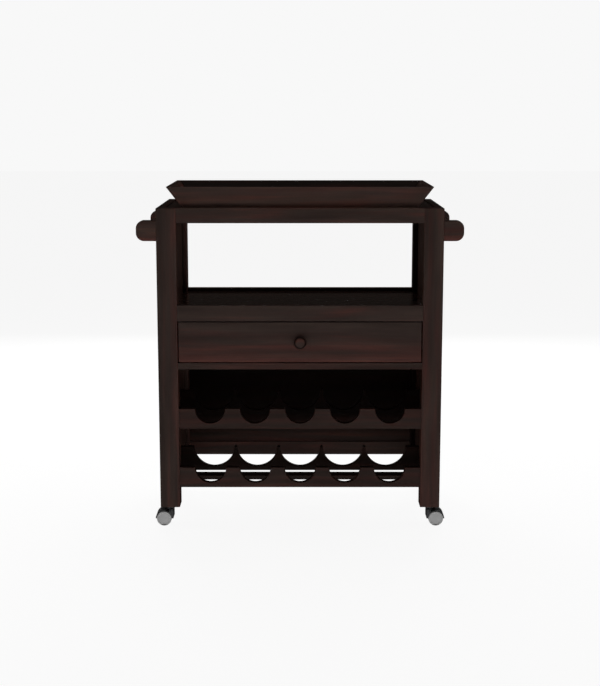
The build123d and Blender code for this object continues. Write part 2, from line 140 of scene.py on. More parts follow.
def linear(code):
    """Linear RGBA from an sRGB hex colour such as '3a2b1c'."""
    channels = [int(code[i:i + 2], 16) / 255 for i in (0, 2, 4)]
    return [c / 12.92 if c <= 0.04045 else ((c + 0.055) / 1.055) ** 2.4 for c in channels] + [1]


def feed(tree, node, inputs):
    """Set each input of a node to a constant, or link it to the socket that feeds it."""
    for name, value in inputs.items():
        if isinstance(value, bpy.types.NodeSocket):
            tree.links.new(value, node.inputs[name])
        else:
            node.inputs[name].default_value = value


def add(tree, kind, inputs=None, **settings):
    """Add one node with its settings, its constants and its links."""
    node = tree.nodes.new(kind)
    for name, value in settings.items():
        setattr(node, name, value)
    feed(tree, node, inputs or {})
    return node


def colour_stops(node, stops):
    """Put (position, hex colour) stops on a colour ramp."""
    elements = node.color_ramp.elements
    for position, code in stops[1:-1]:
        elements.new(position).color = linear(code)
    elements[0].position, elements[0].color = stops[0][0], linear(stops[0][1])
    elements[-1].position, elements[-1].color = stops[-1][0], linear(stops[-1][1])
    return node.outputs["Color"]


def new_material(name):
    """An empty node material with its output and its Principled shader."""
    material = bpy.data.materials.new(name)
    material.use_nodes = True
    tree = material.node_tree
    tree.nodes.clear()
    shader = add(tree, "ShaderNodeBsdfPrincipled")
    add(tree, "ShaderNodeOutputMaterial", {"Surface": shader.outputs["BSDF"]})
    return material, tree, shader


# Patterns in the wood, as (along the grain, across it) in mm, detail, roughness, distortion.
WOOD_PATTERNS = {
    "bands": (700, 34, 2.0, 0.5, 0.0),      # growth bands on a flat-sawn board
    "clouds": (230, 22, 1.5, 0.5, 0.0),     # stain taken up unevenly
    "streaks": (300, 6, 3.0, 0.55, 0.0),    # darker vessels gathered in lines
    "wisps": (240, 15, 3.0, 0.5, 0.3),      # flame-like edge of the heartwood
    "fibre": (42, 0.8, 2.0, 0.5, 0.0),
    "pores": (7, 0.5, 1.0, 0.5, 0.0),       # really 0.2 mm wide; drawn wide enough to show
    "film": (60, 22, 2.0, 0.5, 0.0),        # varnish brushed on unevenly
}


def varnished_wood(name, tones, heart_tones, coat, roughness, coat_roughness=0.2):
    """Stained hardwood under varnish: wandering growth streaks, redder heartwood, fibre and pores.

    Reads what each board carries: 'grain' (metres along the grain, across it and through the
    board), 'heartwood' (0 to 1), how light it was stained with any painted shade laid on top,
    'arris' and 'end_grain'.
    """
    material, tree, shader = new_material(name)
    carried = {label: add(tree, "ShaderNodeAttribute", attribute_name=label).outputs
               for label in ("grain", "heartwood", "stain_and_shade", "arris", "end_grain")}
    straight = carried["grain"]["Vector"]

    # The grain wanders sideways by up to 9 mm over a third of a metre.
    slow = add(tree, "ShaderNodeMapping", {
        "Vector": straight, "Scale": (1000 / 330, 1000 / 120, 1000 / 120)})
    wander = add(tree, "ShaderNodeTexNoise", {
        "Vector": slow.outputs["Vector"], "Scale": 1.0, "Detail": 1.0})
    drift = add(tree, "ShaderNodeVectorMath", {
        0: wander.outputs["Color"], 1: (0.0, 18 * MM, 18 * MM)}, operation="MULTIPLY")
    place = add(tree, "ShaderNodeVectorMath", {0: straight, 1: drift.outputs[0]}, operation="ADD")
    seen = {}
    for label, (along, across, detail, rough, distortion) in WOOD_PATTERNS.items():
        followed = straight if label == "film" else place.outputs[0]
        scaled = add(tree, "ShaderNodeMapping", {
            "Vector": followed, "Scale": (1000 / along, 1000 / across, 1000 / across)})
        seen[label] = add(tree, "ShaderNodeTexNoise", {
            "Vector": scaled.outputs["Vector"], "Scale": 1.0, "Detail": detail, "Roughness": rough,
            "Distortion": distortion}).outputs["Fac"]

    # One tone for both woods, a weighted sum of three patterns.
    tone = 0.0
    for label, weight in (("bands", 0.3), ("clouds", 0.4), ("streaks", 0.3)):
        tone = add(tree, "ShaderNodeMath", {0: seen[label], 1: weight, 2: tone},
                   operation="MULTIPLY_ADD").outputs[0]
    sapwood = colour_stops(add(tree, "ShaderNodeValToRGB", {"Fac": tone}), tones)
    heartwood = colour_stops(add(tree, "ShaderNodeValToRGB", {"Fac": tone}), heart_tones)
    # Where a board carries heartwood, its edge breaks up into wisps.
    flame = add(tree, "ShaderNodeMath", {0: seen["wisps"], 1: 2.4, 2: carried["heartwood"]["Fac"]},
                operation="MULTIPLY_ADD")
    share = add(tree, "ShaderNodeMapRange", {
        "Value": flame.outputs[0], "From Min": 1.2, "From Max": 2.3},
        interpolation_type="SMOOTHSTEP")
    colour = add(tree, "ShaderNodeMix", {0: share.outputs["Result"], 6: sapwood, 7: heartwood},
                 data_type="RGBA")

    # What darkens or lightens the colour: fibre, open pores, stain with painted shade, end grain and
    # eased arrises.
    fibre = add(tree, "ShaderNodeMapRange", {
        "Value": seen["fibre"], "From Min": 0.3, "From Max": 0.7, "To Min": 0.88, "To Max": 1.1},
        interpolation_type="SMOOTHSTEP")
    pores = add(tree, "ShaderNodeMapRange", {
        "Value": seen["pores"], "From Min": 0.26, "From Max": 0.36},
        interpolation_type="SMOOTHSTEP")
    # Painted shade rides on the stain value; both stop at the darkest allowed.
    stain_and_shade = add(tree, "ShaderNodeMath", {0: carried["stain_and_shade"]["Fac"], 1: DARKEST_STAIN_AND_SHADE},
                operation="MAXIMUM")
    shade = add(tree, "ShaderNodeMath", {0: fibre.outputs["Result"], 1: stain_and_shade.outputs[0]},
                operation="MULTIPLY").outputs[0]
    for cause, gain, base in ((pores.outputs["Result"], 0.4, 0.6),
                              (carried["end_grain"]["Fac"], -0.3, 1.0),
                              (carried["arris"]["Fac"], 0.12, 1.0)):
        part = add(tree, "ShaderNodeMath", {0: cause, 1: gain, 2: base}, operation="MULTIPLY_ADD")
        shade = add(tree, "ShaderNodeMath", {0: shade, 1: part.outputs[0]},
                    operation="MULTIPLY").outputs[0]
    shaded = add(tree, "ShaderNodeVectorMath", {0: colour.outputs[2], "Scale": shade},
                 operation="SCALE")

    film = add(tree, "ShaderNodeMapRange", {
        "Value": seen["film"], "From Min": 0.3, "From Max": 0.7, "To Min": roughness - 0.1,
        "To Max": roughness}, interpolation_type="SMOOTHSTEP")
    rough = add(tree, "ShaderNodeMath", {0: seen["fibre"], 1: 0.1, 2: film.outputs["Result"]},
                operation="MULTIPLY_ADD")
    # Varnish sinks a little over the open pores.
    relief = add(tree, "ShaderNodeMath", {0: seen["fibre"], 1: 0.3, 2: pores.outputs["Result"]},
                 operation="MULTIPLY_ADD")
    bump = add(tree, "ShaderNodeBump", {
        "Strength": 0.3, "Distance": 0.1 * MM, "Height": relief.outputs[0]})
    feed(tree, shader, {
        "Base Color": shaded.outputs[0], "Roughness": rough.outputs[0],
        "Normal": bump.outputs["Normal"], "IOR": 1.48, "Coat Weight": coat,
        "Coat Roughness": coat_roughness, "Coat IOR": 1.45})
    return material


def moulded_plastic(name, base, speck, roughness, grain_mm):
    """Injection-moulded plastic: even colour, a fine spark-eroded texture and slight mottling."""
    material, tree, shader = new_material(name)
    place = add(tree, "ShaderNodeTexCoord").outputs["Object"]
    mottle = add(tree, "ShaderNodeTexNoise", {"Vector": place, "Scale": 1000 / 14, "Detail": 3.0})
    texture = add(tree, "ShaderNodeTexNoise", {
        "Vector": place, "Scale": 1000 / grain_mm, "Detail": 2.0})
    colour = colour_stops(add(tree, "ShaderNodeValToRGB", {"Fac": mottle.outputs["Fac"]}),
                          ((0.3, base), (0.7, speck)))
    rough = add(tree, "ShaderNodeMapRange", {
        "Value": texture.outputs["Fac"], "To Min": roughness - 0.07, "To Max": roughness + 0.07})
    bump = add(tree, "ShaderNodeBump", {
        "Strength": 0.25, "Distance": 0.05 * MM, "Height": texture.outputs["Fac"]})
    feed(tree, shader, {
        "Base Color": colour, "Roughness": rough.outputs["Result"],
        "Normal": bump.outputs["Normal"], "IOR": 1.49})
    return material


def zinc_plated_steel(name):
    """Cold-rolled steel with bright zinc: bluish grey, drawn lines along Y and cloudy passivation."""
    material, tree, shader = new_material(name)
    place = add(tree, "ShaderNodeTexCoord").outputs["Object"]
    drawn = add(tree, "ShaderNodeMapping", {
        "Vector": place, "Scale": (1000 / 0.8, 1000 / 60, 1000 / 0.8)})
    lines = add(tree, "ShaderNodeTexNoise", {
        "Vector": drawn.outputs["Vector"], "Scale": 1.0, "Detail": 2.0})
    clouds = add(tree, "ShaderNodeTexNoise", {"Vector": place, "Scale": 1000 / 22, "Detail": 4.0})
    colour = colour_stops(add(tree, "ShaderNodeValToRGB", {"Fac": clouds.outputs["Fac"]}),
                          ((0.3, "b9bdbf"), (0.55, "cbcccb"), (0.75, "c9c3b4")))
    rough = add(tree, "ShaderNodeMapRange", {
        "Value": lines.outputs["Fac"], "To Min": 0.24, "To Max": 0.42})
    bump = add(tree, "ShaderNodeBump", {
        "Strength": 0.2, "Distance": 0.03 * MM, "Height": lines.outputs["Fac"]})
    feed(tree, shader, {
        "Base Color": colour, "Roughness": rough.outputs["Result"],
        "Normal": bump.outputs["Normal"], "Metallic": 1.0})
    return material


SAPWOOD = ((0.30, "2b1f1b"), (0.44, "342621"), (0.56, "3b2c26"), (0.72, "46352d"))
HEARTWOOD = ((0.30, "361d17"), (0.44, "44241e"), (0.56, "522b23"), (0.72, "633729"))
BOX_SAPWOOD = ((0.30, "3a271e"), (0.44, "4a3327"), (0.56, "5a4030"), (0.72, "6d4f3b"))
BOX_HEARTWOOD = ((0.30, "44281a"), (0.44, "553322"), (0.56, "673f2b"), (0.72, "7a4e38"))

frame_wood = varnished_wood("mahogany_stained_semi_gloss", SAPWOOD, HEARTWOOD, 0.5, 0.42)
shelf_wood = varnished_wood("mahogany_polished_to_a_shine", SAPWOOD, HEARTWOOD, 1.0, 0.3, 0.07)
box_wood = varnished_wood("drawer_box_wood_satin", BOX_SAPWOOD, BOX_HEARTWOOD, 0.12, 0.55)
hood_plastic = moulded_plastic("black_nylon_moulded", "38393a", "404142", 0.42, 0.5)
wheel_plastic = moulded_plastic("grey_polypropylene_moulded", "a0a0a0", "a8a8a8", 0.38, 0.7)
cage_plastic = moulded_plastic("white_acetal_ball_cage", "d8d8d2", "e2e2dd", 0.45, 0.5)
steel = zinc_plated_steel("zinc_plated_steel_drawn")


# ---- Mesh helpers ----

def ease_edges(bm, radius, steps=ROUNDING_STEPS, butt_x=None):
    """Round every sharp fold, and give back the vertices that lie on the rounding alone.

    Edges at x = +-butt_x stay square: there the board butts against another one.
    """
    def butts(edge):
        return butt_x is not None and all(abs(abs(v.co.x) - butt_x) < 1e-5 for v in edge.verts)

    folds = [e for e in bm.edges if e.is_manifold and e.calc_face_angle(0) > SHARP and not butts(e)]
    made = bmesh.ops.bevel(bm, geom=folds, offset=radius, segments=steps, profile=0.5,
                           affect="EDGES", clamp_overlap=True)
    rounded = set(made["faces"])
    return [v for v in bm.verts if v.link_faces and all(f in rounded for f in v.link_faces)]


def finish_mesh(bm, name, materials, wood=None, arris_vertices=()):
    """Turn a bmesh into an object with smooth shading and, for wood, what the material reads.

    wood gives the grain's axis, how much heartwood lies at the low and the high edge of the
    board, and how light it was stained, with any painted shade, as one number or at its low
    and high edge.
    """
    bmesh.ops.recalc_face_normals(bm, faces=bm.faces[:])
    for face in bm.faces:
        face.smooth = True
    for edge in bm.edges:
        edge.smooth = not (edge.is_manifold and edge.calc_face_angle(0) > SHARP)
    bm.verts.index_update()
    worn = {v.index for v in arris_vertices}
    mesh = bpy.data.meshes.new(name)
    bm.to_mesh(mesh)
    bm.free()
    for material in materials if isinstance(materials, (list, tuple)) else [materials]:
        mesh.materials.append(material)
    if wood:
        add_wood_attributes(mesh, worn, *wood)
    piece = bpy.data.objects.new(name, mesh)
    bpy.context.scene.collection.objects.link(piece)
    weighted = piece.modifiers.new("flat_faces_stay_flat", "WEIGHTED_NORMAL")
    weighted.keep_sharp = True
    return piece


def add_wood_attributes(mesh, worn, grain, heart=None, stain_and_shade=1.0):
    """Give a board its own place in the grain, its heartwood, stain with painted shade, arrises and
    end grain.
    """
    order = {"x": (0, 2, 1), "y": (1, 2, 0), "z": (2, 0, 1)}[grain]
    shift = (RNG.uniform(0, 9), RNG.uniform(0, 3), RNG.uniform(0, 3))
    plain_heart = RNG.uniform(0.1, 0.4)
    low_heart, high_heart = heart or (plain_heart, plain_heart)
    low_stain, high_stain = stain_and_shade if isinstance(stain_and_shade, tuple) else (stain_and_shade, stain_and_shade)
    batch = RNG.uniform(0.95, 1.05)
    across = [vertex.co[order[1]] for vertex in mesh.vertices]
    bottom, span = min(across), max(max(across) - min(across), 1e-6)
    share = [(place - bottom) / span for place in across]
    tables = {
        "grain": ("FLOAT_VECTOR", "POINT", [vertex.co[axis] + s for vertex in mesh.vertices
                                            for axis, s in zip(order, shift)]),
        "arris": ("FLOAT", "POINT", [float(i in worn) for i in range(len(mesh.vertices))]),
        "heartwood": ("FLOAT", "POINT", [low_heart + (high_heart - low_heart) * k for k in share]),
        "stain_and_shade": ("FLOAT", "CORNER", [batch * (low_stain + (high_stain - low_stain)
                                               * share[loop.vertex_index]) for loop in mesh.loops]),
        "end_grain": ("FLOAT", "FACE", [float(abs(face.normal[order[0]]) > 0.8)
                                        for face in mesh.polygons]),
    }
    for label, (kind, domain, values) in tables.items():
        layer = mesh.attributes.new(label, kind, domain)
        layer.data.foreach_set("vector" if kind == "FLOAT_VECTOR" else "value", values)


def restain_and_reshade(piece, direction, value):
    """Give the faces that look in one direction a stain, or a painted shade, of their own."""
    layer = piece.data.attributes["stain_and_shade"].data
    for face in piece.data.polygons:
        if face.normal.dot(Vector(direction)) > 0.5:
            for loop in face.loop_indices:
                layer[loop].value = value


def attach(piece, node, body="cart"):
    """Put a piece under the body it moves with, and hide the CAD node it stands in for."""
    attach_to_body(piece, body)
    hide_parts(node)


def board(node, low, high, wood, material=frame_wood, radius=ARRIS, butt_x=None):
    """A square-edged board between two corners, with eased edges."""
    bm = bmesh.new()
    bmesh.ops.create_cube(bm, size=1)
    for v in bm.verts:
        v.co = [lo + (hi - lo) * (c + 0.5) for lo, hi, c in zip(low, high, v.co)]
    worn = ease_edges(bm, radius, butt_x=butt_x)
    return finish_mesh(bm, f"{node}_board", material, wood, worn)


def merge_flat_faces(bm, degrees):
    """Merge a mesh's loose triangles into whole faces, over folds of up to so many degrees."""
    bmesh.ops.remove_doubles(bm, verts=bm.verts[:], dist=1e-6)
    bmesh.ops.dissolve_limit(bm, angle_limit=math.radians(degrees), verts=bm.verts[:],
                             edges=bm.edges[:])


def eased_copy(node, wood, radius, material=frame_wood):
    """A CAD node's shape, merged into whole faces, with eased edges."""
    bm = bmesh.new()
    bm.from_mesh(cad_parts[node].data)
    merge_flat_faces(bm, 1)
    return finish_mesh(bm, f"{node}_board", material, wood, ease_edges(bm, radius))


def rounded_outline(points, steps=10):
    """Corner points (u, v, radius) made into a closed outline whose corners are arcs."""
    outline = []
    count = len(points)
    for i, (u, v, radius) in enumerate(points):
        corner = Vector((u, v))
        before = (Vector(points[i - 1][:2]) - corner).normalized()
        after = (Vector(points[(i + 1) % count][:2]) - corner).normalized()
        if radius <= 0:
            outline.append(corner)
            continue
        half_turn = before.angle(after) / 2
        reach = radius / math.tan(half_turn)
        centre = corner + (before + after).normalized() * radius / math.sin(half_turn)
        start, end = corner + before * reach - centre, corner + after * reach - centre
        sweep = start.angle_signed(end)
        for k in range(steps + 1):
            outline.append(centre + Matrix.Rotation(-sweep * k / steps, 2) @ start)
    return outline


def extruded(bm, outline, to_space, depth_from, depth_to):
    """Add a prism: outline points (u, v) placed by to_space(u, v, depth) at both depths."""
    near = [bm.verts.new(to_space(u, v, depth_from)) for u, v in outline]
    far = [bm.verts.new(to_space(u, v, depth_to)) for u, v in outline]
    bm.faces.new(near)
    bm.faces.new(list(reversed(far)))
    for i in range(len(near)):
        j = (i + 1) % len(near)
        bm.faces.new((near[j], near[i], far[i], far[j]))
    bmesh.ops.recalc_face_normals(bm, faces=bm.faces[:])


def turned(bm, profile, origin, axis, steps=72):
    """Add a turned solid: (distance along the axis, radius) points spun about it, poles closed."""
    axis = Vector(axis).normalized()
    side = axis.orthogonal().normalized()
    other = axis.cross(side)
    rings = []
    for along, radius in profile:
        centre = Vector(origin) + axis * along
        if radius < 1e-7:
            rings.append([bm.verts.new(centre)])
            continue
        turns = [2 * math.pi * k / steps for k in range(steps)]
        rings.append([bm.verts.new(centre + side * radius * math.cos(t) + other * radius * math.sin(t))
                      for t in turns])
    for first, second in zip(rings, rings[1:]):
        for k in range(steps):
            n = (k + 1) % steps
            corners = [first[k % len(first)], first[n % len(first)],
                       second[n % len(second)], second[k % len(second)]]
            corners = list(dict.fromkeys(corners))
            if len(corners) > 2:
                bm.faces.new(corners)
    bmesh.ops.recalc_face_normals(bm, faces=bm.faces[:])


def in_mm(*points):
    """Outline points given in millimetres."""
    return [(a * MM, b * MM) for a, b in points]


def curve_points(points, steps=8):
    """A smooth run through (along, radius) points, for turned profiles."""
    smooth = []
    for i in range(len(points) - 1):
        p0, p1 = Vector(points[max(i - 1, 0)]), Vector(points[i])
        p2, p3 = Vector(points[i + 1]), Vector(points[min(i + 2, len(points) - 1)])
        for k in range(steps):
            t = k / steps
            smooth.append(0.5 * (2 * p1 + (p2 - p0) * t + (2 * p0 - 5 * p1 + 4 * p2 - p3) * t * t
                                 + (3 * p1 - p0 - 3 * p2 + p3) * t ** 3))
    smooth.append(Vector(points[-1]))
    return [(p[0], max(p[1], 0.0)) for p in smooth]


# ---- Geometry Nodes trees ----

def new_tree(name, inputs):
    """A geometry tree that takes points and named inputs, each with its kind of socket."""
    tree = bpy.data.node_groups.new(name, "GeometryNodeTree")
    for label, kind in {"Points": "Geometry", **inputs}.items():
        tree.interface.new_socket(label, in_out="INPUT", socket_type=f"NodeSocket{kind}")
    tree.interface.new_socket("Geometry", in_out="OUTPUT", socket_type="NodeSocketGeometry")
    return tree, add(tree, "NodeGroupInput").outputs, add(tree, "NodeGroupOutput")


def run_tree(tree, name, values, points=()):
    """Evaluate a tree on a mesh of loose points and give the result as a bmesh."""
    start = bpy.data.meshes.new(f"{name}_points")
    start.from_pydata([tuple(p) for p in points], [], [])
    holder = bpy.data.objects.new(f"{name}_maker", start)
    bpy.context.scene.collection.objects.link(holder)
    modifier = holder.modifiers.new("maker", "NODES")
    modifier.node_group = tree
    for item in tree.interface.items_tree:
        if item.in_out == "INPUT" and item.name in values:
            modifier[item.identifier] = values[item.name]
    bpy.context.view_layer.update()
    evaluated = holder.evaluated_get(bpy.context.evaluated_depsgraph_get())
    made = bpy.data.meshes.new_from_object(evaluated)
    holder.modifiers.remove(modifier)
    bpy.data.objects.remove(holder)
    bpy.data.meshes.remove(start)
    bm = bmesh.new()
    bm.from_mesh(made)
    bpy.data.meshes.remove(made)
    return bm


def centred_row(tree, given, axis, offset=None):
    """Points one pitch apart along an axis, as far to the one side of the middle as to the other."""
    gaps = add(tree, "ShaderNodeMath", {0: given["Count"], 1: 1.0}, operation="SUBTRACT")
    reach = add(tree, "ShaderNodeMath", {0: gaps.outputs[0], 1: given["Pitch"]},
                operation="MULTIPLY")
    back = add(tree, "ShaderNodeMath", {0: reach.outputs[0], 1: -0.5}, operation="MULTIPLY")
    start = add(tree, "ShaderNodeCombineXYZ", {axis: back.outputs[0]})
    feed(tree, start, offset or {})
    step = add(tree, "ShaderNodeCombineXYZ", {axis: given["Pitch"]})
    return add(tree, "GeometryNodeMeshLine", {
        "Count": given["Count"], "Start Location": start.outputs[0], "Offset": step.outputs[0]},
        mode="OFFSET").outputs["Mesh"]


def rack_rail_tree():
    """A rail with a row of half-round bottle rests cut in its top edge."""
    tree, given, result = new_tree("bottle_rail", {
        "Size": "Vector", "Centre": "Vector", "Notch Radius": "Float", "Pitch": "Float",
        "Count": "Int", "Material": "Material"})
    blank = add(tree, "GeometryNodeMeshCube", {"Size": given["Size"]})
    size = add(tree, "ShaderNodeSeparateXYZ", {"Vector": given["Size"]})
    half_height = add(tree, "ShaderNodeMath", {0: size.outputs["Z"], 1: 0.5}, operation="MULTIPLY")
    # The cutters lie along Y, three times as long as the rail is thick.
    deep = add(tree, "ShaderNodeMath", {0: size.outputs["Y"], 1: 3.0}, operation="MULTIPLY")
    cutter = add(tree, "GeometryNodeMeshCylinder", {
        "Vertices": 96, "Radius": given["Notch Radius"], "Depth": deep.outputs[0]})
    row = centred_row(tree, given, "X", {"Z": half_height.outputs[0]})
    cutters = add(tree, "GeometryNodeInstanceOnPoints", {
        "Points": row, "Instance": cutter.outputs["Mesh"], "Rotation": (math.pi / 2, 0, 0)})
    real = add(tree, "GeometryNodeRealizeInstances", {"Geometry": cutters.outputs["Instances"]})
    cut = add(tree, "GeometryNodeMeshBoolean", {
        "Mesh 1": blank.outputs["Mesh"], "Mesh 2": real.outputs["Geometry"]},
        operation="DIFFERENCE", solver="EXACT")
    placed = add(tree, "GeometryNodeTransform", {
        "Geometry": cut.outputs["Mesh"], "Translation": given["Centre"]})
    painted = add(tree, "GeometryNodeSetMaterial", {
        "Geometry": placed.outputs["Geometry"], "Material": given["Material"]})
    feed(tree, result, {"Geometry": painted.outputs["Geometry"]})
    return tree


def screw_tree():
    """A pan-head screw with a cross recess on each point, its head towards local +Z."""
    tree, given, result = new_tree("cross_head_screws", {
        "Head Radius": "Float", "Head Height": "Float", "Shank Radius": "Float",
        "Shank Length": "Float", "Turn": "Vector", "Material": "Material"})
    head = add(tree, "GeometryNodeMeshCylinder", {
        "Vertices": 40, "Radius": given["Head Radius"], "Depth": given["Head Height"]})
    half_up = add(tree, "ShaderNodeMath", {0: given["Head Height"], 1: 0.5}, operation="MULTIPLY")
    lift = add(tree, "ShaderNodeCombineXYZ", {"Z": half_up.outputs[0]})
    # Each arm of the recess is 1.1 head radii long in all and 0.22 wide, and cut half through.
    length = add(tree, "ShaderNodeMath", {0: given["Head Radius"], 1: 1.1}, operation="MULTIPLY")
    width = add(tree, "ShaderNodeMath", {0: given["Head Radius"], 1: 0.22}, operation="MULTIPLY")
    recessed = add(tree, "GeometryNodeMeshBoolean", {"Mesh 1": head.outputs["Mesh"]},
                   operation="DIFFERENCE", solver="EXACT")
    for x, y in ((length, width), (width, length)):
        size = add(tree, "ShaderNodeCombineXYZ", {
            "X": x.outputs[0], "Y": y.outputs[0], "Z": given["Head Height"]})
        bar = add(tree, "GeometryNodeMeshCube", {"Size": size.outputs[0]})
        arm = add(tree, "GeometryNodeTransform", {
            "Geometry": bar.outputs["Mesh"], "Translation": lift.outputs[0]})
        feed(tree, recessed, {"Mesh 2": arm.outputs["Geometry"]})
    raised = add(tree, "GeometryNodeTransform", {
        "Geometry": recessed.outputs["Mesh"], "Translation": lift.outputs[0]})
    shank = add(tree, "GeometryNodeMeshCylinder", {
        "Vertices": 24, "Radius": given["Shank Radius"], "Depth": given["Shank Length"]})
    half_down = add(tree, "ShaderNodeMath", {0: given["Shank Length"], 1: -0.5},
                    operation="MULTIPLY")
    drop = add(tree, "ShaderNodeCombineXYZ", {"Z": half_down.outputs[0]})
    sunk = add(tree, "GeometryNodeTransform", {
        "Geometry": shank.outputs["Mesh"], "Translation": drop.outputs[0]})
    screw = add(tree, "GeometryNodeJoinGeometry", {"Geometry": raised.outputs["Geometry"]})
    feed(tree, screw, {"Geometry": sunk.outputs["Geometry"]})
    screws = add(tree, "GeometryNodeInstanceOnPoints", {
        "Points": given["Points"], "Instance": screw.outputs["Geometry"],
        "Rotation": given["Turn"]})
    real = add(tree, "GeometryNodeRealizeInstances", {"Geometry": screws.outputs["Instances"]})
    painted = add(tree, "GeometryNodeSetMaterial", {
        "Geometry": real.outputs["Geometry"], "Material": given["Material"]})
    feed(tree, result, {"Geometry": painted.outputs["Geometry"]})
    return tree


def ball_cage_tree():
    """Slide balls in a row along Y through each point, held in a thin strip."""
    tree, given, result = new_tree("ball_cage", {
        "Ball Radius": "Float", "Pitch": "Float", "Count": "Int", "Strip Size": "Vector",
        "Ball Material": "Material", "Strip Material": "Material"})
    ball = add(tree, "GeometryNodeMeshUVSphere", {
        "Segments": 20, "Rings": 12, "Radius": given["Ball Radius"]})
    row = centred_row(tree, given, "Y")
    balls = add(tree, "GeometryNodeInstanceOnPoints", {
        "Points": row, "Instance": ball.outputs["Mesh"]})
    steel_balls = add(tree, "GeometryNodeSetMaterial", {
        "Geometry": balls.outputs["Instances"], "Material": given["Ball Material"]})
    strip = add(tree, "GeometryNodeMeshCube", {"Size": given["Strip Size"]})
    moulded_strip = add(tree, "GeometryNodeSetMaterial", {
        "Geometry": strip.outputs["Mesh"], "Material": given["Strip Material"]})
    cage = add(tree, "GeometryNodeJoinGeometry", {"Geometry": steel_balls.outputs["Geometry"]})
    feed(tree, cage, {"Geometry": moulded_strip.outputs["Geometry"]})
    cages = add(tree, "GeometryNodeInstanceOnPoints", {
        "Points": given["Points"], "Instance": cage.outputs["Geometry"]})
    real = add(tree, "GeometryNodeRealizeInstances", {"Geometry": cages.outputs["Instances"]})
    feed(tree, result, {"Geometry": real.outputs["Geometry"]})
    return tree


# ---- Frame boards ----

def make_legs():
    """Four square legs, with painted shade on their tops and on the rear legs' faces towards the
    inside.
    """
    for row in ROWS:
        for hand, side in SIDES.items():
            node = f"leg_{row}_{hand}"
            leg = board(node, *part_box(node), ("z", LEG_HEART[hand], LEG_STAIN_AND_SHADE[row]))
            # Painted shade: the tops are darkened; the rear legs keep plain stain only on their back
            # and outer faces.
            restain_and_reshade(leg, (0, 0, 1), LEG_TOP_PAINTED_SHADE)
            if row == "rear":
                restain_and_reshade(leg, (0, 1, 0), OUTSIDE_STAIN)
                restain_and_reshade(leg, (side, 0, 0), OUTSIDE_STAIN)
            attach(leg, node)


def make_rails():
    """Rails between the legs, shown without their hidden tenons."""
    for node, stain_and_shade in RAIL_STAIN.items():
        low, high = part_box(node)
        low.x, high.x = -INNER_X, INNER_X
        attach(board(node, low, high, ("x", None, stain_and_shade), butt_x=INNER_X), node)
    for hand in SIDES:
        # The top side rails carry painted shade.
        node = f"top_{hand}_rail"
        low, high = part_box(node)
        low.y, high.y = FRONT_Y + LEG_SIDE, REAR_Y - LEG_SIDE
        attach(board(node, low, high, ("y", None, TOP_SIDE_RAIL_PAINTED_SHADE)), node)


def make_panels():
    """Side panels, back panel, top panel, shelf and the lower rack's slat."""
    for node, stain_and_shade in PANEL_STAIN_AND_SHADE.items():
        grain = "z" if "side" in node else "x"
        material = shelf_wood if node == "shelf_board" else frame_wood
        panel = eased_copy(node, (grain, None, stain_and_shade), THIN_ARRIS, material)
        if node == "back_panel":
            # Its back face keeps the plain stain; the painted shade stays on its inner face.
            restain_and_reshade(panel, (0, 1, 0), OUTSIDE_STAIN)
        attach(panel, node)


def make_rack_rails():
    """Bottle rails of both racks, cut by the geometry tree and eased afterwards."""
    tree = rack_rail_tree()
    for node, (radius, stain_and_shade) in RACK_RAILS.items():
        low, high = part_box(node)
        butt_x = INNER_X if "front" in node else None
        if butt_x:
            low.x, high.x = -butt_x, butt_x
        bm = run_tree(tree, node, {
            "Size": high - low, "Centre": (low + high) / 2, "Notch Radius": radius,
            "Pitch": BOTTLE_PITCH, "Count": BOTTLE_COUNT, "Material": frame_wood}, [(0, 0, 0)])
        merge_flat_faces(bm, 0.5)
        worn = ease_edges(bm, ARRIS, butt_x=butt_x)
        attach(finish_mesh(bm, f"{node}_board", frame_wood, ("x", None, stain_and_shade), worn), node)


# ---- Handles ----

def make_handles():
    """Two brackets with rounded noses on each side, and the bar between them."""
    for hand, side in SIDES.items():
        node = f"handle_brackets_{hand}"
        low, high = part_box(node)
        reach = max(abs(low.x), abs(high.x))
        nose = [(OUTER_X, low.z, 0), (reach, low.z, BRACKET_CORNER),
                (reach, high.z, BRACKET_CORNER), (OUTER_X, high.z, 0)]
        outline = rounded_outline(nose, steps=14)
        bm = bmesh.new()
        for front in (low.y, high.y - BRACKET_THICKNESS):
            extruded(bm, outline, lambda u, v, d: (side * u, d, v), front,
                     front + BRACKET_THICKNESS)
        worn = ease_edges(bm, BRACKET_ARRIS, 5, butt_x=OUTER_X)
        attach(finish_mesh(bm, f"{node}_boards", frame_wood, ("x", BRACKET_HEART), worn), node)

        node = f"handle_bar_{hand}"
        low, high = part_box(node)
        radius = (high.x - low.x) / 2
        length = high.y - low.y
        centre = (low + high) / 2
        bm = bmesh.new()
        turned(bm, ((0, 0), (0, radius), (length, radius), (length, 0)),
               (centre.x, low.y, centre.z), (0, 1, 0))
        attach(finish_mesh(bm, f"{node}_dowel", frame_wood, ("y",)), node)


# ---- Tray ----

def make_tray():
    """Mitred flared walls and the floor between them."""
    for node, grain in (("tray_front_wall", "x"), ("tray_rear_wall", "x"),
                        ("tray_left_wall", "y"), ("tray_right_wall", "y"), ("tray_floor", "x")):
        attach(eased_copy(node, (grain,), TRAY_ARRIS), node, "tray")


# ---- Drawer ----

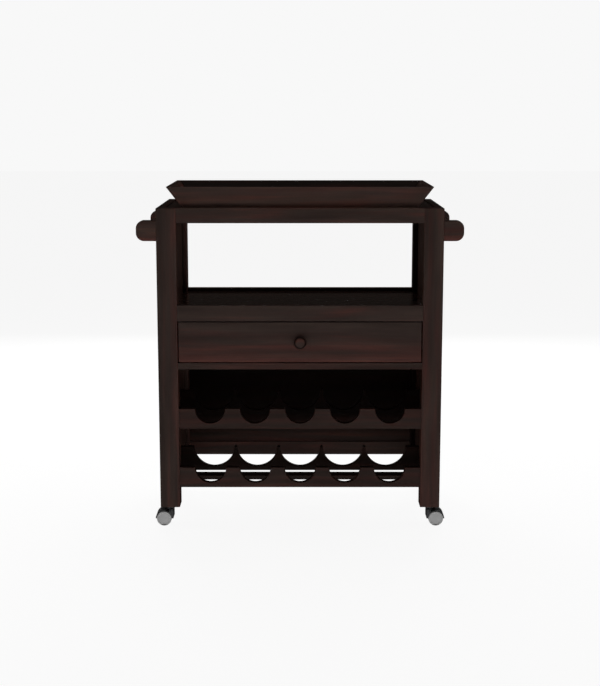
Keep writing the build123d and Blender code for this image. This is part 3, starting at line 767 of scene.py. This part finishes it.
def make_drawer():
    """Drawer front and box."""
    low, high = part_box("drawer_front")
    front_back_face = high.y
    # Planed a touch smaller for an even shadow line all round.
    for axis in (0, 2):
        low[axis] += DRAWER_RELIEF
        high[axis] -= DRAWER_RELIEF
    wood = ("x", DRAWER_HEART, DRAWER_STAIN)
    attach(board("drawer_front", low, high, wood, radius=DRAWER_ARRIS), "drawer_front", "drawer")
    for hand in SIDES:
        node = f"drawer_{hand}_side"
        low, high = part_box(node)
        low.y = front_back_face
        attach(board(node, low, high, ("y",), box_wood), node, "drawer")
    for node in ("drawer_back", "drawer_bottom"):
        attach(board(node, *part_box(node), ("x",), box_wood, THIN_ARRIS), node, "drawer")


def make_knob():
    """The turned knob: a waisted neck, a crisp rim and a domed face."""
    low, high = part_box("drawer_knob")
    reach = high.y - low.y
    radius = (high.x - low.x) / 2
    rim = (20 * MM, radius)
    neck = in_mm((0, 9), (2.5, 8.3), (7, 7.8), (12, 9.2), (17, 13.2)) + [rim]
    cap = [rim, (22.2 * MM, radius * 0.97), (24.4 * MM, radius * 0.86),
           (26.0 * MM, radius * 0.66), (26.7 * MM, radius * 0.38), (reach, 0)]
    bm = bmesh.new()
    turned(bm, [(0, 0)] + curve_points(neck) + curve_points(cap)[1:],
           (0, high.y, (low.z + high.z) / 2), (0, -1, 0))
    knob = finish_mesh(bm, "drawer_knob_turned", frame_wood, ("x", KNOB_HEART))
    # Painted shade: all but the middle of the domed face is darkened.
    stain_and_shade = knob.data.attributes["stain_and_shade"].data
    for loop, value in zip(knob.data.loops, stain_and_shade):
        if knob.data.vertices[loop.vertex_index].co.y >= high.y - 25.5 * MM:
            value.value *= KNOB_SHADOW
    attach(knob, "drawer_knob", "drawer")


# ---- Drawer slides ----

def make_slides():
    """Folded steel channels that run inside one another."""
    outer_low, outer_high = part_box("slide_outer_members")
    middle_z = (outer_low.z + outer_high.z) / 2
    fold, inner_fold = 2 * SLIDE_SHEET, SLIDE_SHEET
    for member, body in (("outer", "cart"), ("middle", "slide_middle"), ("inner", "drawer")):
        node = f"slide_{member}_members"
        low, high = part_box(node)
        # The open channel, as distances from the leg's inner face and heights from the middle.
        web, tip = SLIDE_WEBS[member], SLIDE_TIPS[member]
        inside = web + math.copysign(SLIDE_SHEET, tip - web)
        half = high.z - middle_z
        wall = half - SLIDE_SHEET
        corners = [(web, -half, fold), (tip, -half, 0), (tip, -wall, 0),
                   (inside, -wall, inner_fold), (inside, wall, inner_fold), (tip, wall, 0),
                   (tip, half, 0), (web, half, fold)]
        if member == "outer":
            # Its flanges turn in at their tips, to keep the balls.
            back, lip = tip - SLIDE_SHEET, wall - SLIDE_LIP
            corners[1:3] = [(tip, -half, fold), (tip, -lip, 0), (back, -lip, 0),
                            (back, -wall, inner_fold)]
            corners[-3:-1] = [(back, wall, inner_fold), (back, lip, 0), (tip, lip, 0),
                              (tip, half, fold)]
        outline = rounded_outline(corners, steps=5)
        bm = bmesh.new()
        for side in SIDES.values():
            extruded(bm, outline, lambda u, v, d: (side * (INNER_X - u), d, middle_z + v),
                     low.y, high.y)
        attach(finish_mesh(bm, f"{node}_folded", steel), node, body)


def make_ball_cages():
    """Two rows of balls on each side of a middle member: outside its flanges and inside them."""
    low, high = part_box("slide_ball_cages")
    middle = (low + high) / 2
    length = high.y - low.y
    rows = [(side * (INNER_X - out), middle.y, middle.z + up * rise)
            for side in SIDES.values() for up in (-1, 1) for out, rise in BALL_ROWS]
    balls = run_tree(ball_cage_tree(), "slide_ball_cages", {
        "Ball Radius": BALL_RADIUS, "Pitch": BALL_PITCH, "Count": int(length / BALL_PITCH) - 1,
        "Strip Size": (CAGE_WIDTH, length, SLIDE_SHEET),
        "Ball Material": steel, "Strip Material": cage_plastic}, rows)
    attach(finish_mesh(balls, "slide_balls_in_cages", [steel, cage_plastic]),
           "slide_ball_cages", "slide_middle")


def pour(source, target):
    """Add one bmesh to another, and free it."""
    part = bpy.data.meshes.new("part")
    source.to_mesh(part)
    target.from_mesh(part)
    source.free()
    bpy.data.meshes.remove(part)


def make_screws():
    """Screws from the outer members into the legs, from the inner ones into the drawer's sides,
    and from inside the drawer front into the knob."""
    tree = screw_tree()
    outer_low, outer_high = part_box("slide_outer_members")
    middle_z = (outer_low.z + outer_high.z) / 2
    for node, body, web, setbacks, points_out in (
            ("slide_screws", "cart", SLIDE_SHEET, LEG_SCREWS, -1),
            ("drawer_screws", "drawer", SLIDE_WEBS["inner"] - SLIDE_SHEET, SIDE_SCREWS, 1)):
        screws = bmesh.new()
        for side in SIDES.values():
            places = [(side * (INNER_X - web), outer_low.y + mm * MM, middle_z)
                      for mm in setbacks]
            pour(run_tree(tree, f"{node}_{side}", {
                **SLIDE_SCREW, "Turn": (0, side * points_out * math.pi / 2, 0),
                "Material": steel}, places), screws)
        if body == "drawer":
            knob_low, knob_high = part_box("drawer_knob")
            place = (0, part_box("drawer_front")[1].y, (knob_low.z + knob_high.z) / 2)
            pour(run_tree(tree, "knob_screw", {
                **KNOB_SCREW, "Turn": (-math.pi / 2, 0, 0), "Material": steel}, [place]), screws)
        attach(finish_mesh(screws, f"{node}_cross_head", steel), node, body)


# ---- Casters ----

def make_wheel(node, outwards):
    """A moulded wheel: soft-edged tread, shallow dished face with a raised ring."""
    low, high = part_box(node)
    centre = (low + high) / 2
    r, w = (high.x - low.x) / 2 / MM, (high.y - low.y) / MM
    inner_face = low.y if outwards > 0 else high.y
    bore = in_mm((15, 0), (15, 3.05), (0, 3.05), (0, 5.5))
    inside = in_mm((1.2, 6.2), (1.2, 15.5), (0, 16.2), (0, r - 2.2))
    tread = in_mm((0.7, r - 0.7), (2.2, r), (w - 2.4, r), (w - 0.8, r - 0.7), (w - 0.2, r - 2.0))
    ring = in_mm((w, r - 3.0), (w - 0.2, r - 3.9), (w - 1.0, r - 4.5), (w - 1.2, r - 6))
    dish = in_mm((w - 0.9, 6), (w - 0.7, 0))
    bm = bmesh.new()
    turned(bm, bore + inside + tread + ring + dish, (centre.x, inner_face, centre.z),
           (0, outwards, 0), 96)
    attach(finish_mesh(bm, f"{node}_moulding", wheel_plastic), node, node)


def make_hood(node, body, stem, side):
    """A caster's hood: fender over both wheels, web between them and the stem's block."""
    low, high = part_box(node)
    half_width = (high.y - low.y) / 2 - HOOD_SETBACK
    outer, inner = HOOD_RADII

    def arc(radius, start, end, steps=28):
        """Points of an arc round the axle; 0 degrees points outwards, 90 up."""
        turns = [math.radians(start + (end - start) * k / steps) for k in range(steps + 1)]
        return [(CASTER_TRAIL + radius * math.cos(t), AXLE_HEIGHT + radius * math.sin(t))
                for t in turns]

    def to_space(u, v, depth):
        return (stem.x + side * u, stem.y + depth, v)

    block = rounded_outline([(9 * MM, BLOCK_TOP, BLOCK_CORNER),
                             (-BLOCK_HALF, BLOCK_TOP, BLOCK_CORNER),
                             (-BLOCK_HALF, AXLE_HEIGHT, 0)], steps=8)
    fender = arc(outer, 0, 94) + [tuple(p) for p in block[:-1]] + [(-BLOCK_HALF, AXLE_HEIGHT)]
    fender += arc(inner, 180, 0)
    web = arc(inner + 0.6 * MM, 0, 180) + arc(HUB_RADIUS, 200, 340)
    collar = high.z - 0.8 * MM
    bm = bmesh.new()
    extruded(bm, fender, to_space, -half_width, half_width)
    ease_edges(bm, 0.7 * MM, 2)
    extruded(bm, web, to_space, -WEB_HALF, WEB_HALF)
    turned(bm, ((BOSS_FOOT, 0), (BOSS_FOOT, BLOCK_HALF), (collar, BLOCK_HALF),
                (high.z, BLOCK_HALF - 0.8 * MM), (high.z, 0)), (stem.x, stem.y, 0), (0, 0, 1), 48)
    attach(finish_mesh(bm, f"{node}_moulding", hood_plastic), node, body)


def make_pins(node, body, stem, side):
    """The grooved stem that turns in its socket, and the axle both wheels run on."""
    foot = in_mm((24, 0), (24, 2.5), (24.5, 3), (38, 3), (38, 4))
    groove_and_tip = in_mm((76, 4), (76.6, 3.2), (79.4, 3.2), (80, 4), (84.5, 4), (86, 2.6), (86, 0))
    shoulder, tip = AXLE_REACH - 0.6 * MM, AXLE_RADIUS - 0.6 * MM
    axle = ((-AXLE_REACH, 0), (-AXLE_REACH, tip), (-shoulder, AXLE_RADIUS),
            (shoulder, AXLE_RADIUS), (AXLE_REACH, tip), (AXLE_REACH, 0))
    bm = bmesh.new()
    turned(bm, foot + groove_and_tip, (stem.x, stem.y, 0), (0, 0, 1), 40)
    turned(bm, axle, (stem.x + side * CASTER_TRAIL, stem.y, AXLE_HEIGHT), (0, 1, 0), 40)
    attach(finish_mesh(bm, f"{node}_turned", steel), node, body)


def make_casters():
    """Four twin-wheel casters and the sockets that hold their stems."""
    sockets = bmesh.new()
    # A socket's bore, flange and tube; heights are from the floor.
    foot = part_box("caster_sockets")[0].z / MM
    leg = leg_low.z / MM
    profile = in_mm((foot, 4.4), (foot, 12.8), (foot + 1.2, 14), (leg, 14), (leg, 5.5),
                    (leg + 36.5, 5.5), (leg + 38, 4.9), (leg + 38, 4.4), (foot, 4.4))
    for row in ROWS:
        for hand, side in SIDES.items():
            label = f"caster_{row}_{hand}"
            leg_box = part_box(f"leg_{row}_{hand}")
            stem = (leg_box[0] + leg_box[1]) / 2
            make_hood(f"{label}_hood", f"{label}_swivel", stem, side)
            make_pins(f"{label}_pins", f"{label}_swivel", stem, side)
            make_wheel(f"{label}_wheel_1", -1)
            make_wheel(f"{label}_wheel_2", 1)
            turned(sockets, profile, (stem.x, stem.y, 0), (0, 0, 1), 64)
    bmesh.ops.remove_doubles(sockets, verts=sockets.verts[:], dist=1e-6)
    attach(finish_mesh(sockets, "caster_sockets_moulding", hood_plastic), "caster_sockets")


make_legs()
make_rails()
make_panels()
make_rack_rails()
make_handles()
make_tray()
make_drawer()
make_knob()
make_slides()
make_ball_cages()
make_screws()
make_casters()


# ---- Studio ----

def make_studio():
    """A pale floor and backdrop, light from low in front, from behind and from the sides."""
    material, tree, shader = new_material("pale_studio_floor")
    place = add(tree, "ShaderNodeTexCoord").outputs["Object"]
    cloud = add(tree, "ShaderNodeTexNoise", {"Vector": place, "Scale": 1.5})
    tone = colour_stops(add(tree, "ShaderNodeValToRGB", {"Fac": cloud.outputs["Fac"]}),
                        ((0.3, "606060"), (0.7, "636363")))
    feed(tree, shader, {
        "Base Color": tone, "Roughness": 0.9, "Specular IOR Level": 0.0,
        "Emission Color": (1, 1, 1, 1), "Emission Strength": FLOOR_GLOW})
    bpy.ops.mesh.primitive_plane_add(size=30, location=(0, 5, 0))
    floor = bpy.context.object
    floor.name = "studio_floor"
    floor.data.materials.append(material)
    floor.visible_glossy = False
    floor.visible_diffuse = False

    world = bpy.data.worlds.new("pale_backdrop")
    world.use_nodes = True
    tree = world.node_tree
    tree.nodes.clear()
    # Seen directly the backdrop is pale; as a light it is dim, so dark varnish stays dark.
    direction = add(tree, "ShaderNodeTexCoord").outputs["Generated"]
    height = add(tree, "ShaderNodeSeparateXYZ", {"Vector": direction}).outputs["Z"]
    up = add(tree, "ShaderNodeMapRange", {"Value": height, "From Min": -1.0})
    room = colour_stops(add(tree, "ShaderNodeValToRGB", {"Fac": up.outputs["Result"]}),
                        ((0.0, "181716"), (0.45, "151312"), (0.55, "141110"), (0.75, "242120"),
                         (1.0, "484644")))
    lit = add(tree, "ShaderNodeBackground", {"Strength": 1.0, "Color": room})
    seen = add(tree, "ShaderNodeBackground", {"Color": linear("f8f8f8"), "Strength": 1.0})
    path = add(tree, "ShaderNodeLightPath")
    mixed = add(tree, "ShaderNodeMixShader", {
        0: path.outputs["Is Camera Ray"], 1: lit.outputs[0], 2: seen.outputs[0]})
    add(tree, "ShaderNodeOutputWorld", {"Surface": mixed.outputs[0]})
    bpy.context.scene.world = world

    def softbox(name, location, target, size, radiance):
        """A large soft lamp aimed at a point, too diffuse to leave a reflection of its own."""
        data = bpy.data.lights.new(name, "AREA")
        data.shape = "RECTANGLE"
        data.size, data.size_y = size
        data.energy = radiance * math.pi * size[0] * size[1]
        lamp = bpy.data.objects.new(name, data)
        lamp.location = location
        aim = Vector(target) - Vector(location)
        lamp.rotation_euler = aim.to_track_quat("-Z", "Y").to_euler()
        lamp.visible_glossy = False
        lamp.visible_camera = False
        bpy.context.scene.collection.objects.link(lamp)

    # Panels lying on the floor do most of the lighting, so deep shelves and racks stay dark.
    softbox("front_floor_panel", (0, -1.95, 0.004), (0, -1.95, 1), (5.0, 3.6), 0.92)
    softbox("front_softbox", (0, -3.0, 0.3), (0, 0, 0.3), (4.4, 0.6), 3.4)
    softbox("under_cart_panel", (0, 0.03, 0.004), (0, 0.03, 1), (0.56, 0.26), 0.55)
    softbox("back_floor_panel", (0, 2.0, 0.004), (0, 2.0, 1), (5.0, 3.4), 0.8)
    softbox("back_softbox", (0, 2.6, 1.2), (0, 0, 0.6), (3.0, 1.2), 4.5)
    for side in SIDES.values():
        softbox(f"side_softbox_{side}", (side * 2.6, 0.4, 0.9), (0, 0, 0.5), (1.6, 1.4), 2.6)
    softbox("top_softbox", (0, 1.3, 2.9), (0, 0, 0.8), (2.4, 1.6), 1.8)

    # A card and a strip low on the cart's top throw light at the tray's leaning front wall.
    softbox("front_bounce_card", (0, FRONT_Y + 0.024, FRAME_TOP + 2 * MM), (0, FRONT_Y + 0.024, 2),
            (0.70, 0.046), 0.3)
    softbox("front_bounce_strip", (0, FRONT_Y + 1 * MM, FRAME_TOP + 6 * MM),
            (0, 0, FRAME_TOP + 6 * MM), (0.70, 0.010), 3.3)


def make_shelf_card():
    """A dim card behind the cart, that only the polished shelf's reflection can find."""
    material, tree, shader = new_material("dim_reflector_card")
    feed(tree, shader, {
        "Base Color": (0, 0, 0, 1), "Emission Color": linear("8a7c74"),
        "Emission Strength": CARD_GLOW})
    bpy.ops.mesh.primitive_plane_add(size=1, location=(0, 0.9, 0.67), rotation=(math.pi / 2, 0, 0))
    card = bpy.context.object
    card.name = "shelf_reflector_card"
    card.scale = (2.4, 0.26, 1)
    card.data.materials.append(material)
    for ray in ("camera", "diffuse", "transmission", "shadow", "volume_scatter"):
        setattr(card, f"visible_{ray}", False)


def make_camera():
    """The view: in front of the cart, a little above its top, tilted down."""
    distance = 3.366               # in front of the legs' front faces
    height = 1.066
    tilt_down = math.radians(9.85)
    data = bpy.data.cameras.new("front_view")
    data.sensor_width = 36
    data.lens = 70.85
    camera = bpy.data.objects.new("front_view", data)
    camera.location = (0, FRONT_Y - distance, height)
    camera.rotation_euler = (math.pi / 2 - tilt_down, 0, 0)
    bpy.context.scene.collection.objects.link(camera)
    bpy.context.scene.camera = camera


make_studio()
make_shelf_card()
make_camera()
bpy.context.scene.view_settings.view_transform = "Standard"
